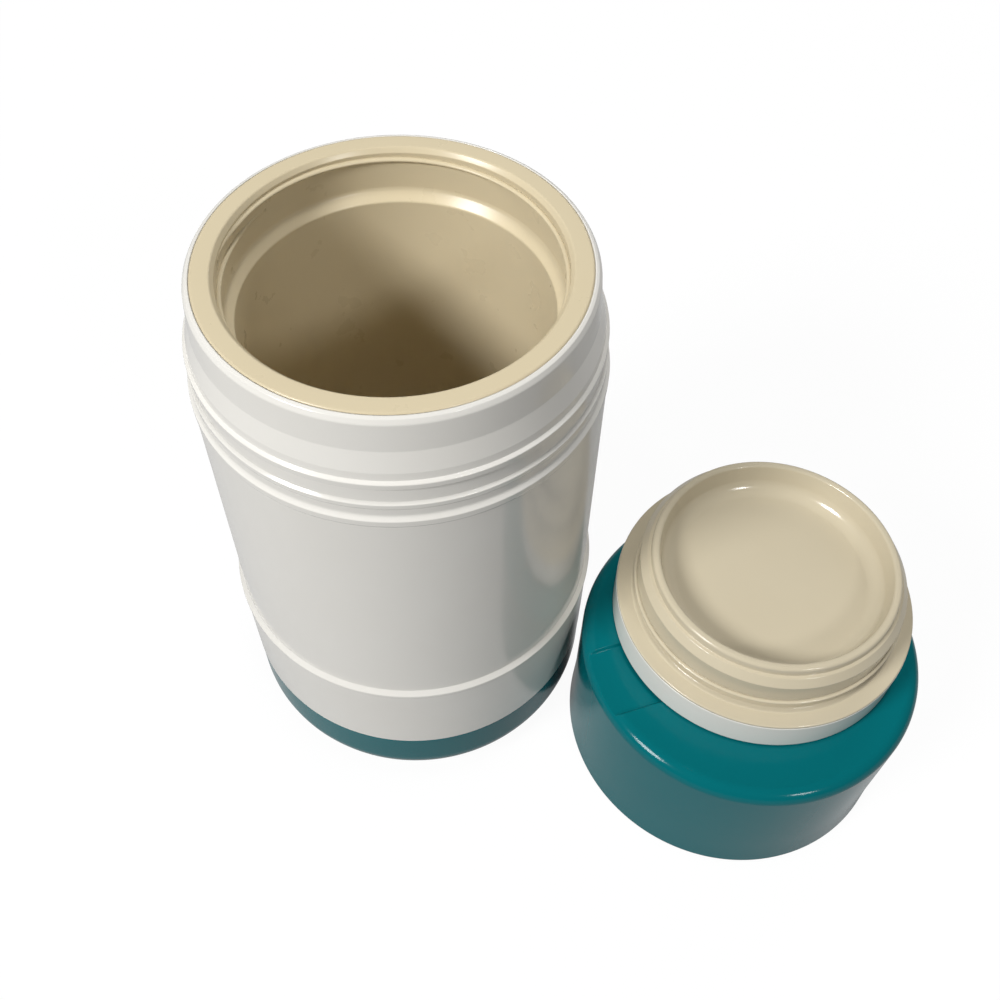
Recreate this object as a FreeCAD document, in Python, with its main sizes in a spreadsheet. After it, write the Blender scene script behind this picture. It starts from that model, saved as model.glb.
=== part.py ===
import FreeCAD, Part
import math
import os
import Sketcher

# An insulated food jar with its drinking cup and its screw stopper.
# The jar stands open. The cup lies mouth down beside it, and the stopper lies upside down on the cup.
# All sizes are in mm. Z is up, and the origin is on the jar's axis where it stands.

os.makedirs("parts", exist_ok=True)
doc = FreeCAD.newDocument("food_jar")

SIZES = {
    # the jar
    "jar_height": 151.7,
    "rim_radius": 42.0,
    "lip_inner_radius": 40.2,
    "neck_radius": 43.3,
    "flare_radius": 44.9,
    "band_radius": 45.1,
    "ledge_radius": 46.5,
    "wall_radius_top": 46.3,
    "wall_radius_bottom": 47.0,
    "skirt_radius": 47.9,
    "seam_height": 23.0,
    "foot_radius": 47.7,
    "foot_corner": 12.0,
    "foot_wall": 2.2,
    "foot_floor": 2.5,
    # the food container inside
    "mouth_radius": 36.1,
    "cavity_radius": 34.0,
    "cavity_radius_low": 32.4,
    "shoulder_height": 138.3,
    "cavity_floor": 14.0,
    "liner_wall": 2.2,
    "rim_face_height": 151.5,
    # the drinking cup
    "cup_offset": 94.9,
    "cup_height": 44.1,
    "cup_mouth_radius": 45.7,
    "cup_wall_radius": 45.2,
    "cup_wall": 2.2,
    "cup_floor": 2.6,
    "cup_corner": 3.6,
    "band_width": 19.0,
    "band_depth": 1.0,
    "band_angle": 35.0,
    # the stopper, measured from the face that lies on the cup
    "stopper_x": 94.2,
    "stopper_y": 8.3,
    "cover_radius": 38.4,
    "cover_height": 10.4,
    "cover_wall": 2.0,
    "plug_top": 26.9,
    "plug_recess_radius": 29.6,
    "plug_recess_floor": 19.2,
    "plug_root_radius": 34.0,
    # the screw thread of the stopper and of the mouth
    "thread_pitch": 3.2,
    "thread_depth": 0.8,
}

sheet = doc.addObject("Spreadsheet::Sheet", "Sizes")
for row, (alias, number) in enumerate(SIZES.items(), start=1):
    sheet.set(f"A{row}", alias)
    sheet.set(f"B{row}", str(number))
    sheet.setAlias(f"B{row}", alias)
doc.recompute()


def value(coordinate):
    """A coordinate is a number, or names from the table and numbers with plus and minus between them."""
    if not isinstance(coordinate, str):
        return float(coordinate)
    total = 0.0
    sign = 1
    for word in coordinate.split():
        if word in ("+", "-"):
            sign = 1 if word == "+" else -1
        else:
            total += sign * (SIZES[word] if word in SIZES else float(word))
    return total


def expression(coordinate):
    """The same coordinate as the sketch's expression, or None for a plain number."""
    if not isinstance(coordinate, str):
        return None
    return " ".join(f"Sizes.{word}" if word in SIZES else word for word in coordinate.split())


def new_body(label):
    body = doc.addObject("PartDesign::Body", label)
    body.Label = label
    return body


def origin_plane(body, role):
    return next(feature for feature in body.Origin.OriginFeatures if feature.Role == role)


def new_sketch(body, name, role, lift=0):
    sketch = body.newObject("Sketcher::SketchObject", name)
    sketch.AttachmentSupport = (origin_plane(body, role), [""])
    sketch.MapMode = "FlatFace"
    if lift:
        sketch.AttachmentOffset = FreeCAD.Placement(FreeCAD.Vector(0, 0, value(lift)), FreeCAD.Rotation())
        sketch.setExpression("AttachmentOffset.Base.z", expression(lift))
    return sketch


def rounded_corner(before, here, after, radius):
    """The two tangent points and the middle point of the arc that rounds a corner."""
    back = (before - here).normalize()
    ahead = (after - here).normalize()
    half = math.acos(max(-1.0, min(1.0, back.dot(ahead)))) / 2
    reach = radius / math.tan(half)
    centre = here + (back + ahead).normalize() * (radius / math.sin(half))
    middle = centre + (here - centre).normalize() * radius
    return here + back * reach, middle, here + ahead * reach


def place_point(sketch, rules, named, geometry, position, radius, height):
    """Fixes one sketch point at a radius and a height, on the sketch axes where either is zero."""
    for kind, axis, coordinate in (("DistanceX", -2, radius), ("DistanceY", -1, height)):
        if value(coordinate) == 0:
            rules.append(Sketcher.Constraint("PointOnObject", geometry, position, axis))
            continue
        if expression(coordinate):
            named.append((len(rules), expression(coordinate)))
        rules.append(Sketcher.Constraint(kind, -1, 1, geometry, position, value(coordinate)))


def closed_profile(sketch, corners):
    """Draws a closed outline. Each corner is (radius, height) or (radius, height, rounding)."""
    sharp = [FreeCAD.Vector(value(corner[0]), value(corner[1]), 0) for corner in corners]
    count = len(corners)
    starts = list(sharp)
    ends = list(sharp)
    middles = [None] * count
    for index, corner in enumerate(corners):
        if len(corner) == 3:
            before, after = sharp[index - 1], sharp[(index + 1) % count]
            ends[index], middles[index], starts[index] = rounded_corner(
                before, sharp[index], after, value(corner[2])
            )
    sides = [
        Part.LineSegment(starts[index], ends[(index + 1) % count]) for index in range(count)
    ]
    sketch.addGeometry(sides, False)
    rules = []
    named = []
    for index, corner in enumerate(corners):
        side_in, side_out = (index - 1) % count, index
        if middles[index] is None:
            rules.append(Sketcher.Constraint("Coincident", side_in, 2, side_out, 1))
            place_point(sketch, rules, named, side_out, 1, corner[0], corner[1])
            continue
        arc = sketch.addGeometry(Part.Arc(ends[index], middles[index], starts[index]), False)
        mark = sketch.addGeometry(Part.Point(sharp[index]), True)
        forward = (sketch.getPoint(arc, 1) - ends[index]).Length < 1e-6
        arc_first, arc_last = (1, 2) if forward else (2, 1)
        place_point(sketch, rules, named, mark, 1, corner[0], corner[1])
        rules.append(Sketcher.Constraint("PointOnObject", mark, 1, side_in))
        rules.append(Sketcher.Constraint("PointOnObject", mark, 1, side_out))
        rules.append(Sketcher.Constraint("Tangent", side_in, 2, arc, arc_first))
        rules.append(Sketcher.Constraint("Tangent", arc, arc_last, side_out, 1))
        if expression(corner[2]):
            named.append((len(rules), expression(corner[2])))
        rules.append(Sketcher.Constraint("Radius", arc, value(corner[2])))
    sketch.addConstraint(rules)
    for index, words in named:
        sketch.setExpression(f"Constraints[{index}]", words)


def turned(body, name, corners):
    """A solid of revolution about the body's own vertical axis."""
    sketch = new_sketch(body, f"{name}_profile", "XZ_Plane")
    closed_profile(sketch, corners)
    turn = body.newObject("PartDesign::Revolution", name)
    turn.Profile = sketch
    turn.ReferenceAxis = (sketch, ["V_Axis"])
    turn.Angle = 360
    sketch.Visibility = False
    body.Tip = turn
    doc.recompute()
    return turn


def screw_rib(body, name, radius, height, turns, side):
    """A helical rib. Side is 1 for a rib that stands out and -1 for one that stands into a bore."""
    sketch = new_sketch(body, f"{name}_profile", "XZ_Plane")
    root = value(radius) - side * 0.3
    crest = value(radius) + side * SIZES["thread_depth"]
    low, high = value(height) - 0.75, value(height) + 0.75
    corners = [(root, low), (crest, low + 0.5), (crest, high - 0.5), (root, high)]
    closed_profile(sketch, corners)
    rib = body.newObject("PartDesign::AdditiveHelix", name)
    rib.Profile = sketch
    rib.ReferenceAxis = (sketch, ["V_Axis"])
    rib.Mode = "pitch-turns-angle"
    rib.Pitch = SIZES["thread_pitch"]
    rib.setExpression("Pitch", "Sizes.thread_pitch")
    rib.Turns = turns
    sketch.Visibility = False
    body.Tip = rib
    doc.recompute()
    return rib


# The outer shell: lip, neck, flare, three raised rings, tall wall, low ring and skirt.
# A thinner lap at its lower end fits inside the foot.
shell = new_body("outer_shell")
turned(shell, "shell_wall_solid", [
    (43.2, 17.0),
    (45.2, 17.0),
    (45.2, "seam_height"),
    ("skirt_radius - 0.1", "seam_height", 0.3),
    ("skirt_radius", 49.4),
    ("skirt_radius + 0.3", 50.1, 0.4),
    ("skirt_radius + 0.3", 51.0, 0.4),
    ("wall_radius_bottom", 52.2, 0.5),
    ("wall_radius_top", 123.3, 0.2),
    ("ledge_radius", 123.8, 0.3),
    ("ledge_radius", 125.3, 0.4),
    ("band_radius + 0.5", 126.4, 0.8),
    ("band_radius + 0.5", 128.3, 0.2),
    ("band_radius + 0.7", 128.8, 0.2),
    ("band_radius + 0.7", 129.9, 0.3),
    ("band_radius", 130.4, 0.2),
    ("flare_radius", 134.0, 0.2),
    ("flare_radius + 0.5", 134.5, 0.25),
    ("flare_radius + 0.5", 135.9, 0.3),
    ("flare_radius", 136.4, 0.2),
    ("flare_radius", 138.4, 0.8),
    ("neck_radius", 143.5, 2.0),
    ("rim_radius + 0.3", 150.2, 1.0),
    ("rim_radius", "jar_height", 0.9),
    ("lip_inner_radius", "jar_height", 0.2),
    ("lip_inner_radius", 144.5),
    (42.4, 138.2),
    (42.8, 127.0),
    (44.1, 122.0),
    (44.7, 54.0),
    (45.5, 48.0),
    (45.5, 29.0),
    (43.2, 25.0),
])

# The foot closes the shell below the seam.
foot = new_body("base_cap")
turned(foot, "foot_solid", [
    (0, 0),
    ("foot_radius", 0, "foot_corner"),
    ("foot_radius", "seam_height", 0.4),
    ("foot_radius - foot_wall", "seam_height"),
    ("foot_radius - foot_wall", "foot_floor", 9.5),
    (0, "foot_floor"),
])

# The food container: a rim face in the shell's lip, a bore for the thread, a sealing shoulder and the cavity.
liner = new_body("inner_liner")
turned(liner, "liner_wall_solid", [
    (0, "cavity_floor - liner_wall"),
    ("cavity_radius_low + liner_wall", "cavity_floor - liner_wall", 10.0),
    (36.2, 136.4),
    (39.0, 139.4),
    (39.0, 149.0),
    ("lip_inner_radius - 0.1", 149.0),
    ("lip_inner_radius - 0.1", "rim_face_height", 0.2),
    ("mouth_radius + 0.7", "rim_face_height", 0.5),
    ("mouth_radius", 150.3, 0.4),
    ("mouth_radius", "shoulder_height + 1.9", 1.4),
    ("cavity_radius", "shoulder_height", 0.8),
    ("cavity_radius_low", "cavity_floor", 8.0),
    (0, "cavity_floor"),
])
screw_rib(liner, "mouth_thread", "mouth_radius", 145.4, 1.2, -1)

# The insulation fills the space between the shell and the food container.
foam = new_body("jar_foam")
turned(foam, "foam_solid", [
    (0, "foot_floor + 0.2"),
    (43.0, "foot_floor + 0.2", 9.0),
    (43.0, 25.2),
    (45.3, 29.2),
    (45.3, 48.0),
    (44.5, 54.0),
    (43.9, 121.8),
    (42.6, 126.8),
    (42.2, 137.0),
    (39.3, 137.0),
    (39.3, 139.1),
    (36.45, 136.2),
    ("cavity_radius_low + 2.45", "cavity_floor - 2.4", 10.0),
    (0, "cavity_floor - 2.4"),
])

# The drinking cup, mouth down, with the shallow band that crosses its flat top.
cup = new_body("cup")
turned(cup, "cup_wall_solid", [
    ("cup_mouth_radius - cup_wall", 0, 0.6),
    ("cup_mouth_radius", 0, 0.8),
    ("cup_wall_radius", 12.0),
    ("cup_wall_radius", "cup_height", "cup_corner"),
    (0, "cup_height"),
    (0, "cup_height - cup_floor"),
    ("cup_wall_radius - 2.4", "cup_height - cup_floor", 2.6),
    ("cup_wall_radius - cup_wall", 12.0),
])
band_sketch = new_sketch(cup, "band_outline", "XY_Plane", lift="cup_height")
reach = SIZES["cup_mouth_radius"] + 4
half = SIZES["band_width"] / 2
across = FreeCAD.Rotation(FreeCAD.Vector(0, 0, 1), SIZES["band_angle"])
outline = [
    across.multVec(FreeCAD.Vector(x, y, 0))
    for x, y in ((-reach, -half), (reach, -half), (reach, half), (-reach, half))
]
band_sketch.addGeometry([Part.LineSegment(outline[i - 1], outline[i]) for i in range(4)], False)
band_sketch.addConstraint([Sketcher.Constraint("Coincident", (i - 1) % 4, 2, i, 1) for i in range(4)])
band_sketch.addConstraint([
    Sketcher.Constraint("Perpendicular", 0, 1),
    Sketcher.Constraint("Perpendicular", 1, 2),
    Sketcher.Constraint("Symmetric", 0, 1, 1, 2, -1, 1),
    Sketcher.Constraint("Distance", 1, 2 * reach),
])
width_rule = band_sketch.addConstraint(Sketcher.Constraint("Distance", 0, 2 * half))
band_sketch.setExpression(f"Constraints[{width_rule}]", "Sizes.band_width")
angle_rule = band_sketch.addConstraint(Sketcher.Constraint("Angle", 1, math.radians(SIZES["band_angle"])))
band_sketch.setExpression(f"Constraints[{angle_rule}]", "Sizes.band_angle * 1 deg")
band = cup.newObject("PartDesign::Pocket", "cup_band")
band.Profile = band_sketch
band.Length = SIZES["band_depth"]
band.setExpression("Length", "Sizes.band_depth")
band_sketch.Visibility = False
cup.Tip = band
doc.recompute()

# The stopper's outside cap, which lies on the cup.
cover = new_body("stopper_cover")
turned(cover, "cover_solid", [
    (0, 0),
    ("cover_radius", 0, 1.2),
    ("cover_radius", "cover_height", 0.4),
    ("cover_radius - cover_wall", "cover_height"),
    ("cover_radius - cover_wall", "cover_wall", 1.0),
    (0, "cover_wall"),
])

# The stopper's plug: skirt in the cap, flange, thread root, neck, sealing shoulder, bead and dished end.
plug = new_body("stopper_plug")
turned(plug, "plug_solid", [
    (33.9, 4.4),
    (36.1, 4.4),
    (36.1, "cover_height"),
    ("cover_radius - 0.1", "cover_height"),
    ("cover_radius - 0.1", "cover_height + 0.7", 0.4),
    (35.2, "cover_height + 0.9", 0.4),
    ("plug_root_radius", 12.0, 0.5),
    ("plug_root_radius", 22.2, 0.5),
    (32.4, 24.3, 0.4),
    (31.6, 24.4, 0.2),
    (31.5, "plug_top", 0.8),
    ("plug_recess_radius", "plug_top", 0.7),
    (27.8, "plug_recess_floor", 4.2),
    (0, "plug_recess_floor"),
    (0, "plug_recess_floor - 2.1"),
    (31.9, "plug_recess_floor - 2.1", 2.0),
    (31.9, 11.8),
    (33.9, 9.2),
])
screw_rib(plug, "plug_thread", "plug_root_radius", 13.0, 1.3, 1)

# The stopper's insulation fills the space inside the plug and the cap.
stopper_foam = new_body("stopper_foam")
turned(stopper_foam, "stopper_foam_solid", [
    (0, "cover_wall + 0.2"),
    (33.6, "cover_wall + 0.2", 0.8),
    (33.6, 9.1),
    (31.6, 11.7),
    (31.6, "plug_recess_floor - 2.3", 2.0),
    (0, "plug_recess_floor - 2.3"),
])

# The loose pieces stand where the photo shows them.
cup.setExpression("Placement.Base.x", "Sizes.cup_offset")
for piece in (cover, plug, stopper_foam):
    piece.setExpression("Placement.Base.x", "Sizes.stopper_x")
    piece.setExpression("Placement.Base.y", "Sizes.stopper_y")
    piece.setExpression("Placement.Base.z", "Sizes.cup_height")
doc.recompute()

pieces = (shell, foot, liner, foam, cup, cover, plug, stopper_foam)
for thing in doc.Objects:
    if "Invalid" in thing.State or "Error" in thing.State:
        raise RuntimeError(f"{thing.Label} did not build: {thing.State}")
for piece in pieces:
    if piece.Shape.isNull() or not piece.Shape.isValid():
        raise RuntimeError(f"{piece.Label} has no valid shape")
    piece.Shape.exportStep(f"parts/{piece.Label}.step")
    box = piece.Shape.BoundBox
    print(f"{piece.Label}: {piece.Shape.Volume / 1000:.1f} cm3, from z {box.ZMin:.1f} to {box.ZMax:.1f}")
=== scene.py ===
# %% [markdown]
# # An insulated food jar with its drinking cup and screw stopper
# The jar stands open. Its teal drinking cup stands mouth down beside it, and the stopper lies upside down on the cup.
# Every piece is moulded plastic, so nearly every shape is turned about an upright axis: one outline, spun all the way.
# The solids that carry the object's size and motion are loaded first, and each dressed piece stands for one of them.
# Outlines are written in millimetres, because that is how a maker measures them, and become metres at the end.

import math

import bmesh
import bpy
from mathutils import Matrix, Vector


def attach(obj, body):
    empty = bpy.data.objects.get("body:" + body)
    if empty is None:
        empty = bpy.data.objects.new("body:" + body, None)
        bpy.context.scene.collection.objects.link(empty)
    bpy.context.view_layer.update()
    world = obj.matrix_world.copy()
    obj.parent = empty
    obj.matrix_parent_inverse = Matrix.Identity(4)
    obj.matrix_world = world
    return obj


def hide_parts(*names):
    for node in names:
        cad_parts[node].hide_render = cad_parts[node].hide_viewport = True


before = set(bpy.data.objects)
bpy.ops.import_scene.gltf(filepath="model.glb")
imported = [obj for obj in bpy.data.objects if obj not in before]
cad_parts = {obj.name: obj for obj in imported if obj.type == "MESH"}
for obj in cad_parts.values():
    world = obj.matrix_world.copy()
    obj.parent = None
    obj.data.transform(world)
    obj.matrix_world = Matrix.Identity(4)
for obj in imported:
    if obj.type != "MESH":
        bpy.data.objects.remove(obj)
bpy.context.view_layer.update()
MM = 0.001
JAR_AXIS = Vector((0, 0, 0)) * MM
CUP_AXIS = Vector((94.9, 0, 0)) * MM
STOPPER_AXIS = Vector((94.8, 8.3, 44.1)) * MM

# %% [markdown]
# ## A lathe
# Moulded round pieces have one outline all the way round. The outline is a short chain of corners, each a radius, a
# height and, where the mould has one, a rounding. Cylinders could be stacked and joined instead, but every joint would
# need its own bevel. Here a vertex bevel rounds the corners while the chain is still flat, which is cheap, and one full
# spin then makes the solid. A chain that starts and ends on the axis is left open there, because the spin closes it.


# %% Round the corners of an outline
def rounded_outline(shape, corners):
    chain = [shape.verts.new((corner[0], 0, corner[1])) for corner in corners]
    off_axis = corners[0][0] > 0
    for before, after in zip(chain, chain[1:] + chain[:1] * off_axis):
        shape.edges.new((before, after))
    for vertex, corner in zip(chain, corners):
        if len(corner) == 3:
            rounding = corner[2]
            sides = [(edge.other_vert(vertex).co - vertex.co).normalized() for edge in vertex.link_edges]
            bmesh.ops.bevel(
                shape, geom=[vertex], affect="VERTICES", offset_type="OFFSET",
                offset=rounding / math.tan(sides[0].angle(sides[1]) / 2),
                segments=max(3, min(12, round(rounding * 4))), profile=0.5, material=-1,
            )


# %% Turn an outline
LATHE_STEPS = 240  # enough for the rim's outline to look round from close by
MERGE_WITHIN = 0.002


def lathe(corners):
    shape = bmesh.new()
    rounded_outline(shape, corners)
    bmesh.ops.spin(
        shape, geom=shape.verts[:] + shape.edges[:], cent=(0, 0, 0), axis=(0, 0, 1),
        angle=math.tau, steps=LATHE_STEPS, use_merge=True,
    )
    bmesh.ops.remove_doubles(shape, verts=shape.verts, dist=MERGE_WITHIN)
    bmesh.ops.recalc_face_normals(shape, faces=shape.faces)
    return shape


# %% [markdown]
# ## From a shape to a piece
# A finished shape is brought to metres and to its place, and then becomes an object at the origin. Smooth shading alone
# would leave a grey veil on the large walls, because each small rounding pulls the shading of the wall beside it. A
# weighted normal modifier lets the large faces decide. A closed moulding has no open edge, so open edges are counted.


# %% Finish a piece
def finished(name, shape, centre):
    open_edges = sum(not edge.is_manifold for edge in shape.edges)
    bmesh.ops.scale(shape, vec=(MM, MM, MM), verts=shape.verts)
    bmesh.ops.translate(shape, vec=centre, verts=shape.verts)
    mesh = bpy.data.meshes.new(name)
    shape.to_mesh(mesh)
    shape.free()
    mesh.polygons.foreach_set("use_smooth", [True] * len(mesh.polygons))
    piece = bpy.data.objects.new(name, mesh)
    bpy.context.scene.collection.objects.link(piece)
    even = piece.modifiers.new("even_shading", "WEIGHTED_NORMAL")
    even.keep_sharp = True
    print(name, len(mesh.polygons), "faces,", open_edges, "open edges")
    return piece


# %% [markdown]
# ## The outer shell
# One tall off-white moulding. From the top it has a rounded lip, a neck that the cup is pushed over, a short flare,
# three raised rings, the tall plain wall, one low ring and a skirt. The rings could be separate bands laid on the wall,
# but they are moulded in one with it, and each is a few corners with small roundings, which catch the light as a fine
# bright line. Inside, the wall follows the same steps at an even thickness, because a mould fills best that way.

# %% Turn the shell
SHELL_OUTSIDE = [
    (43.2, 17.0),
    (45.2, 17.0),
    (45.2, 23.0),
    (47.8, 23.0, 0.3),
    (47.9, 49.4),
    (48.2, 50.1, 0.4),
    (48.2, 51.0, 0.4),
    (47.0, 52.2, 0.5),
    (46.3, 123.3, 0.2),
    (46.5, 123.8, 0.3),
    (46.5, 125.3, 0.4),
    (45.6, 126.4, 0.8),
    (45.6, 128.3, 0.2),
    (45.8, 128.8, 0.2),
    (45.8, 129.9, 0.3),
    (45.1, 130.4, 0.2),
    (44.9, 134.0, 0.2),
    (45.4, 134.5, 0.25),
    (45.4, 135.9, 0.3),
    (44.6, 136.4, 0.2),
    (44.4, 138.3, 0.8),
    (43.1, 143.3, 2.0),
    (42.5, 150.2, 1.2),
    (41.9, 151.2, 0.4),
    (41.3, 151.45, 0.2),
]
SHELL_INSIDE = [
    (40.98, 151.45),
    (40.98, 149.3),
    (40.2, 149.3),
    (40.2, 144.5),
    (42.4, 138.2),
    (42.8, 127.0),
    (44.1, 122.0),
    (44.7, 54.0),
    (45.5, 48.0),
    (45.5, 29.0),
    (43.2, 25.0),
]
shell = finished("shell", lathe(SHELL_OUTSIDE + SHELL_INSIDE), JAR_AXIS)

# %% [markdown]
# ## The foot
# A teal bowl that closes the shell from below and laps over its lower end. Its wide lower rounding is the only curve
# that shows. A bevelled cylinder would do for the outside, but the lathe gives the inside with it.

# %% Turn the foot
foot = finished("foot", lathe([
    (0, 0),
    (47.7, 0, 12.0),
    (47.7, 23.0, 0.4),
    (45.5, 23.0),
    (45.5, 2.5, 9.5),
    (0, 2.5),
]), JAR_AXIS)

# %% [markdown]
# ## Screw threads
# The stopper and the mouth each carry one coarse rib that climbs as it goes round. A curve with a thick bevel could
# make it, but its round section is wrong: a moulded rib is a low hump with sloping sides. So the hump is drawn as one
# face and spun with a small lift at every step, which makes a screw. Its root is sunk in the wall, so no gap shows.
# A real rib fades out at its ends, so there it is pressed back to the wall, with an even start and stop.


# %% Ease a share
def eased(share):
    """Goes from 0 to 1 without a kink at either end."""
    share = min(1.0, max(0.0, share))
    return share * share * (3 - 2 * share)


# %% The screw rib
# Each corner of the hump is a share of the rib's depth and a height from the middle of the rib.
HUMP = ((0, -0.8), (0.75, -0.38), (1, -0.15), (1, 0.15), (0.75, 0.38), (0, 0.8))
SUNK = 0.3  # how far the root reaches into the wall
FADE_TURNS = 0.07  # the share of a turn over which each end fades
RIB_STEPS_PER_TURN = 180
RIB_MERGE_WITHIN = 0.001


def screw_rib(shape, wall, low, pitch, turns, depth, start_angle=0.0):
    """Adds a rib to a shape. A positive depth stands out from the wall, and a negative one stands into a bore."""
    rib = bmesh.new()
    root = -math.copysign(SUNK, depth)
    hump = rib.faces.new([
        rib.verts.new((wall + (depth * share if share else root), 0, low + rise)) for share, rise in HUMP
    ])
    bmesh.ops.spin(
        rib, geom=[hump], cent=(0, 0, 0), axis=(0, 0, 1), dvec=(0, 0, pitch / RIB_STEPS_PER_TURN),
        angle=math.tau * turns, steps=round(RIB_STEPS_PER_TURN * turns),
    )
    bmesh.ops.remove_doubles(rib, verts=rib.verts, dist=RIB_MERGE_WITHIN)
    for vertex in rib.verts:
        radius = math.hypot(vertex.co.x, vertex.co.y)
        if (radius - wall) * depth > 0:
            angle = math.atan2(vertex.co.y, vertex.co.x) / math.tau
            turns_done = angle + round((vertex.co.z - low) / pitch - angle)
            standing = eased(min(turns_done, turns - turns_done) / FADE_TURNS)
            shrink = (wall + (radius - wall) * standing) / radius
            vertex.co.x *= shrink
            vertex.co.y *= shrink
    bmesh.ops.rotate(rib, cent=(0, 0, 0), matrix=Matrix.Rotation(start_angle, 3, "Z"), verts=rib.verts)
    bmesh.ops.recalc_face_normals(rib, faces=rib.faces)
    carried = bpy.data.meshes.new("rib")
    rib.to_mesh(carried)
    print("rib of", turns, "turns has", len(rib.faces), "faces")
    rib.free()
    shape.from_mesh(carried)
    bpy.data.meshes.remove(carried)


# %% [markdown]
# ## The food container
# The beige container hangs in the shell by its rim, which is rolled over the shell's edge, so no gap shows between the
# two colours. Below the rim the bore has the rib of the thread. Below that, a bright rounded shoulder, where the
# stopper seals, leads into the deep cavity. A hole cut in a solid could make it, but the outline keeps the wall thin
# and gives the rolled rim at the same time.

# %% Turn the container
BORE = 36.1
container_shape = lathe([
    (0, 11.8),
    (34.6, 11.8, 10.0),
    (36.2, 136.4),
    (39.0, 139.4),
    (39.0, 149.35),
    (41.0, 149.35),
    (41.0, 151.7, 0.6),
    (36.9, 151.7, 0.6),
    (BORE, 150.6, 0.4),
    (BORE, 141.0, 1.5),
    (34.0, 138.8, 0.8),
    (32.4, 14.0, 8.0),
    (0, 14.0),
])
screw_rib(container_shape, BORE, low=146.4, pitch=3.0, turns=1.1, depth=-0.8, start_angle=math.radians(-200))
container = finished("container", container_shape, JAR_AXIS)

# %% [markdown]
# ## The drinking cup
# On the closed jar the cup is pushed over the neck as its lid. Here it stands on its mouth. A cylinder with a Solidify
# modifier could make it, but then the wall would be as thick at the rounded edge as elsewhere. The outline gives the
# inside its own rounding, and lets the wall widen a little towards the mouth, so that the cup slides off its mould.

# %% Turn the cup
CUP_TOP = 44.1
CUP_INSIDE_TOP = 41.5
cup_shape = lathe([
    (0, CUP_INSIDE_TOP),
    (42.8, CUP_INSIDE_TOP, 2.6),
    (43.0, 12.0),
    (43.5, 0, 0.6),
    (45.7, 0, 0.8),
    (45.2, 12.0),
    (45.2, CUP_TOP, 3.6),
    (0, CUP_TOP),
])

# %% [markdown]
# ## The cup's band
# One shallow straight band crosses the flat top. A boolean with a box could press it in, but it would leave ragged
# faces at the cup's rounded edge. Instead, parallel cuts put edges exactly where the band's two slopes run, and one
# level cut puts an edge where its floor meets the rounding. Every point that stands above the floor is let down to it.

# %% Cut edges for the band
BAND_DEPTH = 1.0
BAND_WAY = math.radians(35)
BAND_EDGE = 9.8  # from the band's middle line to where a slope begins
SLOPE_WIDTH = 0.8
SLOPE_CUTS = (0.8, 0.65, 0.5, 0.3, 0.15, 0.0)  # how far inward from that edge each cut runs
OUTSIDE_ABOVE = CUP_INSIDE_TOP + 0.7  # faces above this belong to the outside of the top
CUT_WITHIN = 0.0001

across_band = Vector((-math.sin(BAND_WAY), math.cos(BAND_WAY), 0))
cuts = [(across_band * side * (BAND_EDGE - inward), across_band) for inward in SLOPE_CUTS for side in (1, -1)]
cuts.append((Vector((0, 0, CUP_TOP - BAND_DEPTH)), Vector((0, 0, 1))))
for through, way in cuts:
    top = {face for face in cup_shape.faces if face.calc_center_median().z > OUTSIDE_ABOVE}
    edges = {edge for face in top for edge in face.edges}
    corners = {vertex for face in top for vertex in face.verts}
    bmesh.ops.bisect_plane(
        cup_shape, geom=[*corners, *edges, *top], dist=CUT_WITHIN, plane_co=through, plane_no=way,
    )
print(len(cuts), "cuts across the cup's top")

# %% Press the band in
lowered = 0
for vertex in cup_shape.verts:
    pressed = eased((BAND_EDGE - abs(vertex.co.dot(across_band))) / SLOPE_WIDTH)
    band_height = CUP_TOP - BAND_DEPTH * pressed
    if vertex.co.z > band_height:
        vertex.co.z = band_height
        lowered += 1
print(lowered, "points let down")
cup = finished("drinking_cup", cup_shape, CUP_AXIS)

# %% [markdown]
# ## The stopper
# Two mouldings with insulation between them. The off-white cap lies on the cup. The beige plug stands up from it:
# a flat flange, a wall with the screw rib, a sloping shoulder that seals, a small bead and a dished end. One outline
# could give both, but they are two colours and come apart, so each has its own. A skirt on the plug sits in the cap.

# %% Turn the stopper's cap
stopper_cap = finished("stopper_cap", lathe([
    (0, 0),
    (39.0, 0, 1.2),
    (39.0, 10.4, 0.4),
    (36.4, 10.4),
    (36.4, 2.0, 1.0),
    (0, 2.0),
]), STOPPER_AXIS)

# %% Turn the stopper's plug
PLUG_WALL = 34.0
plug_shape = lathe([
    (0, 17.1),
    (31.9, 17.1, 2.0),
    (31.9, 11.8),
    (33.9, 9.2),
    (33.9, 4.4),
    (36.1, 4.4),
    (36.1, 10.4),
    (38.9, 10.4),
    (38.9, 11.1, 0.4),
    (35.2, 11.3, 0.4),
    (PLUG_WALL, 12.0, 0.5),
    (PLUG_WALL, 22.2, 0.5),
    (32.4, 24.3, 0.4),
    (31.6, 24.4, 0.2),
    (31.5, 26.9, 0.8),
    (29.6, 26.9, 0.7),
    (27.8, 19.2, 4.2),
    (0, 19.2),
])
screw_rib(plug_shape, PLUG_WALL, low=13.0, pitch=3.2, turns=1.3, depth=0.8)
plug = finished("plug", plug_shape, STOPPER_AXIS)

# %% [markdown]
# ## What moves with what
# The jar stays. The cup can be lifted off the table, and the stopper can be lifted off the cup. Each dressed piece
# rides on the body that it belongs to, and the plain solid that it stands for is hidden.

# %% Tie each piece to its body
for piece, body, node in (
    (shell, "jar", "outer_shell"),
    (foot, "jar", "base_cap"),
    (container, "jar", "inner_liner"),
    (cup, "drinking_cup", "cup"),
    (stopper_cap, "stopper", "stopper_cover"),
    (plug, "stopper", "stopper_plug"),
):
    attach(piece, body)
    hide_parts(node)
    print(piece.name, "stands for", node)

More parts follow.
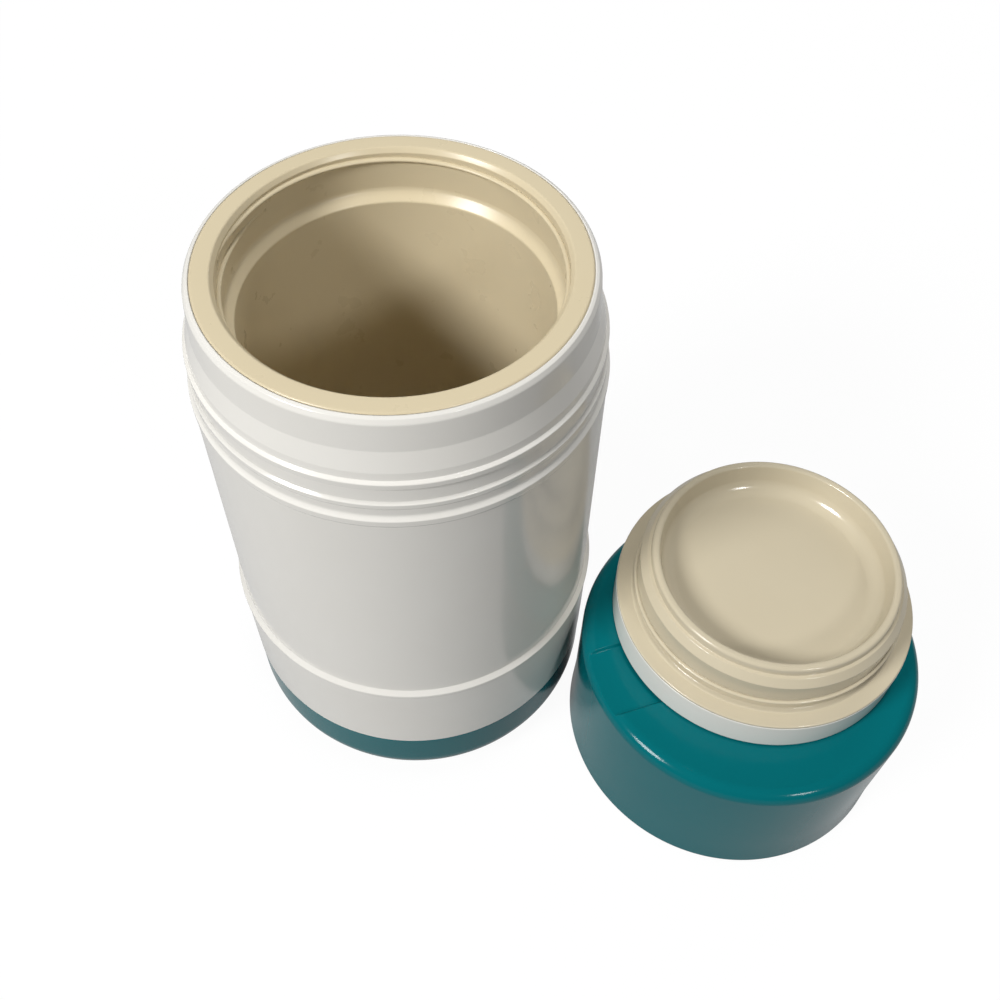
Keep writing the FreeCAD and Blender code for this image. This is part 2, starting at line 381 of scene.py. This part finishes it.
# %% [markdown]
# ## Shader maths as sums
# A finish is a small net of nodes, and its maths reads best as plain sums. So a small class wraps one socket: a sum
# or a product of two signals adds the Math node, and one method adds any other node. What is fed to a socket may be a
# signal, which is linked, or a plain value, which is set.


# %% A signal between nodes
class Signal:
    """One output of a shader node."""

    def __init__(self, socket):
        self.socket = socket

    def node(self, kind, settings, sockets, output=0):
        added = self.socket.id_data.nodes.new(kind)
        for name, setting in settings.items():
            setattr(added, name, setting)
        for name, given in sockets.items():
            feed(given, added.inputs[name])
        return Signal(added.outputs[output])

    def maths(self, operation, first, second):
        return self.node("ShaderNodeMath", {"operation": operation}, {0: first, 1: second})

    def __add__(self, other):
        return self.maths("ADD", self, other)

    def __mul__(self, other):
        return self.maths("MULTIPLY", self, other)

    def __sub__(self, other):
        return self.maths("SUBTRACT", self, other)

    def __rsub__(self, other):
        return self.maths("SUBTRACT", other, self)

    __radd__, __rmul__ = __add__, __mul__


def feed(given, socket):
    if isinstance(given, Signal):
        socket.id_data.links.new(given.socket, socket)
    else:
        socket.default_value = given


# %% Colours and noises
def shade(r, g, b):
    """A colour as 0 to 255 numbers, in the linear values that Blender mixes."""
    return tuple(
        (c / 255 / 12.92) if c / 255 <= 0.04045 else ((c / 255 + 0.055) / 1.055) ** 2.4 for c in (r, g, b)
    ) + (1.0,)


def blended(share, first, second):
    """A colour between two others. Colours go through a Mix node, because a Math node would turn them grey."""
    return share.node("ShaderNodeMix", {"data_type": "RGBA"}, {"Factor": share, 6: first, 7: second}, 2)


def noise(where, scale, detail):
    return where.node("ShaderNodeTexNoise", {}, {"Vector": where, "Scale": scale, "Detail": detail}, "Fac")


# %% [markdown]
# ## The plastic
# Glossy plastic has one even colour, so what makes it look real is small. One recipe serves every colour. A wide noise
# mixes two nearby tones, which is the faint cloudiness of a moulding. A finer one moves the roughness a little either
# side of its middle, as handling does. A low, wide bump is the slight waviness of a moulded wall, and a fine one is the
# grain that the steel mould leaves. Painted pictures could do the same, but noise on the object's own coordinates
# needs no seam and moves with the piece.


# %% Make a plastic
def plastic(name, tone, deeper_tone, roughness, shine=0.5, wear=0.02, wave=0.1, grain=0.02):
    material = bpy.data.materials.new(name)
    material.use_nodes = True
    shader = material.node_tree.nodes["Principled BSDF"]
    where = Signal(material.node_tree.nodes.new("ShaderNodeTexCoord").outputs["Object"])
    clouds = noise(where, 38.0, 3.0)
    rubbed = noise(where, 140.0, 5.0)
    pits = noise(where, 2400.0, 1.0)
    walls = where.node("ShaderNodeBump", {}, {"Strength": wave, "Distance": 0.4 * MM, "Height": clouds})
    surface = where.node(
        "ShaderNodeBump", {}, {"Strength": grain, "Distance": 0.1 * MM, "Height": pits, "Normal": walls}
    )
    feed(blended(clouds, tone, deeper_tone), shader.inputs["Base Color"])
    feed(shine, shader.inputs["Specular IOR Level"])
    feed(roughness + (rubbed - 0.5) * (2 * wear), shader.inputs["Roughness"])
    feed(surface, shader.inputs["Normal"])
    print(name, "tone", [round(c, 3) for c in tone[:3]], "roughness", roughness)
    return material


# %% Mix the plastics
off_white = plastic("off_white_plastic", shade(229, 227, 221), shade(225, 222, 215), 0.14)
teal = plastic("teal_plastic", shade(2, 101, 107), shade(1, 97, 104), 0.12, shine=0.15)
beige = plastic("beige_plastic", shade(213, 200, 170), shade(209, 195, 163), 0.28, shine=0.4)
stopper_beige = plastic("stopper_beige_plastic", shade(200, 190, 166), shade(195, 184, 159), 0.14)
foam = plastic("insulation_foam", shade(236, 230, 208), shade(222, 214, 188), 0.85, wear=0.06, wave=0.6, grain=0.6)

# %% [markdown]
# ## Dress every piece
# The shell and the stopper's cap are one off-white plastic, and the foot and the cup are one teal. The container and
# the plug are two batches of beige, the container's less polished. The insulation of the jar and of the stopper is
# hidden inside, so its plain solids stay, and only take the look of foam.

# %% Give each piece its finish
for piece, finish in (
    (shell, off_white), (foot, teal), (container, beige), (cup, teal), (stopper_cap, off_white), (plug, stopper_beige),
):
    piece.data.materials.append(finish)
    print(piece.name, "is", finish.name)
for node in ("jar_foam", "stopper_foam"):
    for material_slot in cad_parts[node].material_slots:
        material_slot.material = foam
        print(node, "is", foam.name)

# %% [markdown]
# ## What a ray is for
# The background has to look white without lighting the object more. A Light Path node tells what kind of ray is asking,
# so the floor and the air can be white for the camera and for what a glossy or clear surface mirrors or passes, and
# stay darker for the rays that carry light to the object.


# %% Tell the rays apart
def ray_kinds(tree):
    """Three signals: 1 for a ray from the camera, for a mirrored one, and for one that passed through something."""
    rays = tree.nodes.new("ShaderNodeLightPath").outputs
    return [Signal(rays[kind]) for kind in ("Is Camera Ray", "Is Glossy Ray", "Is Transmission Ray")]


def grey(level):
    return (level, level, level, 1.0)


# %% [markdown]
# ## The paper floor
# A white sheet. The camera has to see it near white, but a white sheet in a bright room would also throw too much
# light up at the jar. So the sheet glows a little for the camera, and it is greyer for rays that leave the object.
# The camera still sees a part of the paper itself, which keeps the object's soft shadow.

# %% Lay the floor
floor_shape = bmesh.new()
bmesh.ops.create_grid(floor_shape, x_segments=1, y_segments=1, size=3.0)
floor_mesh = bpy.data.meshes.new("floor")
floor_shape.to_mesh(floor_mesh)
floor_shape.free()
floor = bpy.data.objects.new("floor", floor_mesh)
bpy.context.scene.collection.objects.link(floor)
print("floor is", [round(side, 1) for side in floor.dimensions[:2]], "m")

# %% Make it paper
paper = bpy.data.materials.new("white_paper")
paper.use_nodes = True
sheet = paper.node_tree.nodes["Principled BSDF"]
feed(0.9, sheet.inputs["Roughness"])
feed(0.0, sheet.inputs["Specular IOR Level"])
seen, mirrored, passed = ray_kinds(paper.node_tree)
for_object = blended(seen, grey(0.25), grey(1))
feed(blended(mirrored, for_object, grey(0.45)), sheet.inputs["Base Color"])
glow = seen.node("ShaderNodeEmission", {}, {"Color": grey(1), "Strength": 1.0})
glowing = seen * 0.95 + mirrored * 0.2 + passed * 0.2
mixed = seen.node("ShaderNodeMixShader", {}, {0: glowing, 1: Signal(sheet.outputs[0]), 2: glow})
feed(mixed, paper.node_tree.nodes["Material Output"].inputs["Surface"])
floor.data.materials.append(paper)
print("floor is", paper.name)

# %% [markdown]
# ## The air
# The air is white for the camera, so that the background is plain from any side. To all other rays it is nearly dark,
# so that the lamps alone model the shapes and the depth of the container stays in shade.

# %% Fill the room
room = bpy.data.worlds.new("room")
bpy.context.scene.world = room
room.use_nodes = True
air = room.node_tree.nodes["Background"]
feed(grey(1), air.inputs["Color"])
seen, mirrored, passed = ray_kinds(room.node_tree)
feed(seen * 0.96 + mirrored * 0.1 + passed * 0.1 + 0.04, air.inputs["Strength"])
print("world is", room.name)

# %% [markdown]
# ## The lamps
# The highlights and the shading in the photograph give two lamps: a strong wide one on the left and a weak one on the
# right, both at about the angle of a window. They leave the depth of the container dark. A small panel straight above
# lights rims and ledges without reaching the container's wall, and a soft fill lifts the back. Neither shows in the
# gloss, because the photograph's plastic mirrors only the first two.

# %% Hang the lamps
AIM = Vector((45, 0, 90)) * MM  # a point between the jar and the cup, which every lamp faces
LAMP_DISTANCE = 2.6


def soft_light(name, azimuth, height_angle, width, level, in_gloss=True):
    """A round lamp seen from the object at two angles. A level of 1 lights a surface that faces it as written."""
    turn, lift = math.radians(azimuth), math.radians(height_angle)
    way = Vector((math.cos(turn) * math.cos(lift), math.sin(turn) * math.cos(lift), math.sin(lift)))
    lamp = bpy.data.lights.new(name, "AREA")
    lamp.shape = "DISK"
    lamp.size = width
    lamp.energy = level * (math.pi * LAMP_DISTANCE) ** 2
    light = bpy.data.objects.new(name, lamp)
    bpy.context.scene.collection.objects.link(light)
    light.location = AIM + way * LAMP_DISTANCE
    light.rotation_euler = way.to_track_quat("Z", "Y").to_euler()
    light.visible_glossy = in_gloss
    print(name, "at", [round(n, 2) for n in light.location], "power", round(lamp.energy, 1))


soft_light("left_lamp", -128, 38, width=0.8, level=0.88)
soft_light("right_lamp", -40, 35, width=0.45, level=0.2)
soft_light("overhead_panel", -90, 90, width=0.35, level=0.34, in_gloss=False)
soft_light("back_fill", 75, 22, width=1.2, level=0.3, in_gloss=False)

# %% [markdown]
# ## The camera
# The photograph looks down at the open jar from about 54 degrees. The ellipses of the rims give that angle, and how
# the jar narrows towards its foot gives the distance. The place was solved in rim radii, with the jar's axis straight
# ahead of the camera, so it is multiplied by the rim's radius and turned until the cup lies on the X axis. The last
# three angles are how far the camera looks down, how far it looks to the side and how far it is tilted.

# %% Find where the camera is
RIM_RADIUS = 42
PLACE_IN_RADII = Vector((0, -4.0671, 7.2217))
CUP_WAY = math.atan2(0.868, 2.086)
PITCH, YAW, ROLL = 0.9431, 0.1359 - CUP_WAY, 0.0325
camera_place = Matrix.Rotation(CUP_WAY, 3, "Z") @ PLACE_IN_RADII * RIM_RADIUS * MM
ahead = Vector((math.sin(YAW) * math.cos(PITCH), math.cos(YAW) * math.cos(PITCH), -math.sin(PITCH)))
right = Vector((math.cos(YAW), -math.sin(YAW), 0))
up = right.cross(ahead)
right, up = math.cos(ROLL) * right + math.sin(ROLL) * up, math.cos(ROLL) * up - math.sin(ROLL) * right
print("camera at", [round(n, 3) for n in camera_place], "looks", [round(n, 3) for n in ahead])

# %% Place the camera
lens = bpy.data.cameras.new("camera")
lens.lens = 39.5
lens.sensor_width = 36
camera = bpy.data.objects.new("camera", lens)
bpy.context.scene.collection.objects.link(camera)
camera.matrix_world = Matrix.Translation(camera_place) @ Matrix((right, up, -ahead)).transposed().to_4x4()
bpy.context.scene.camera = camera
bpy.context.scene.view_settings.view_transform = "Standard"
print("lens of", lens.lens, "mm")
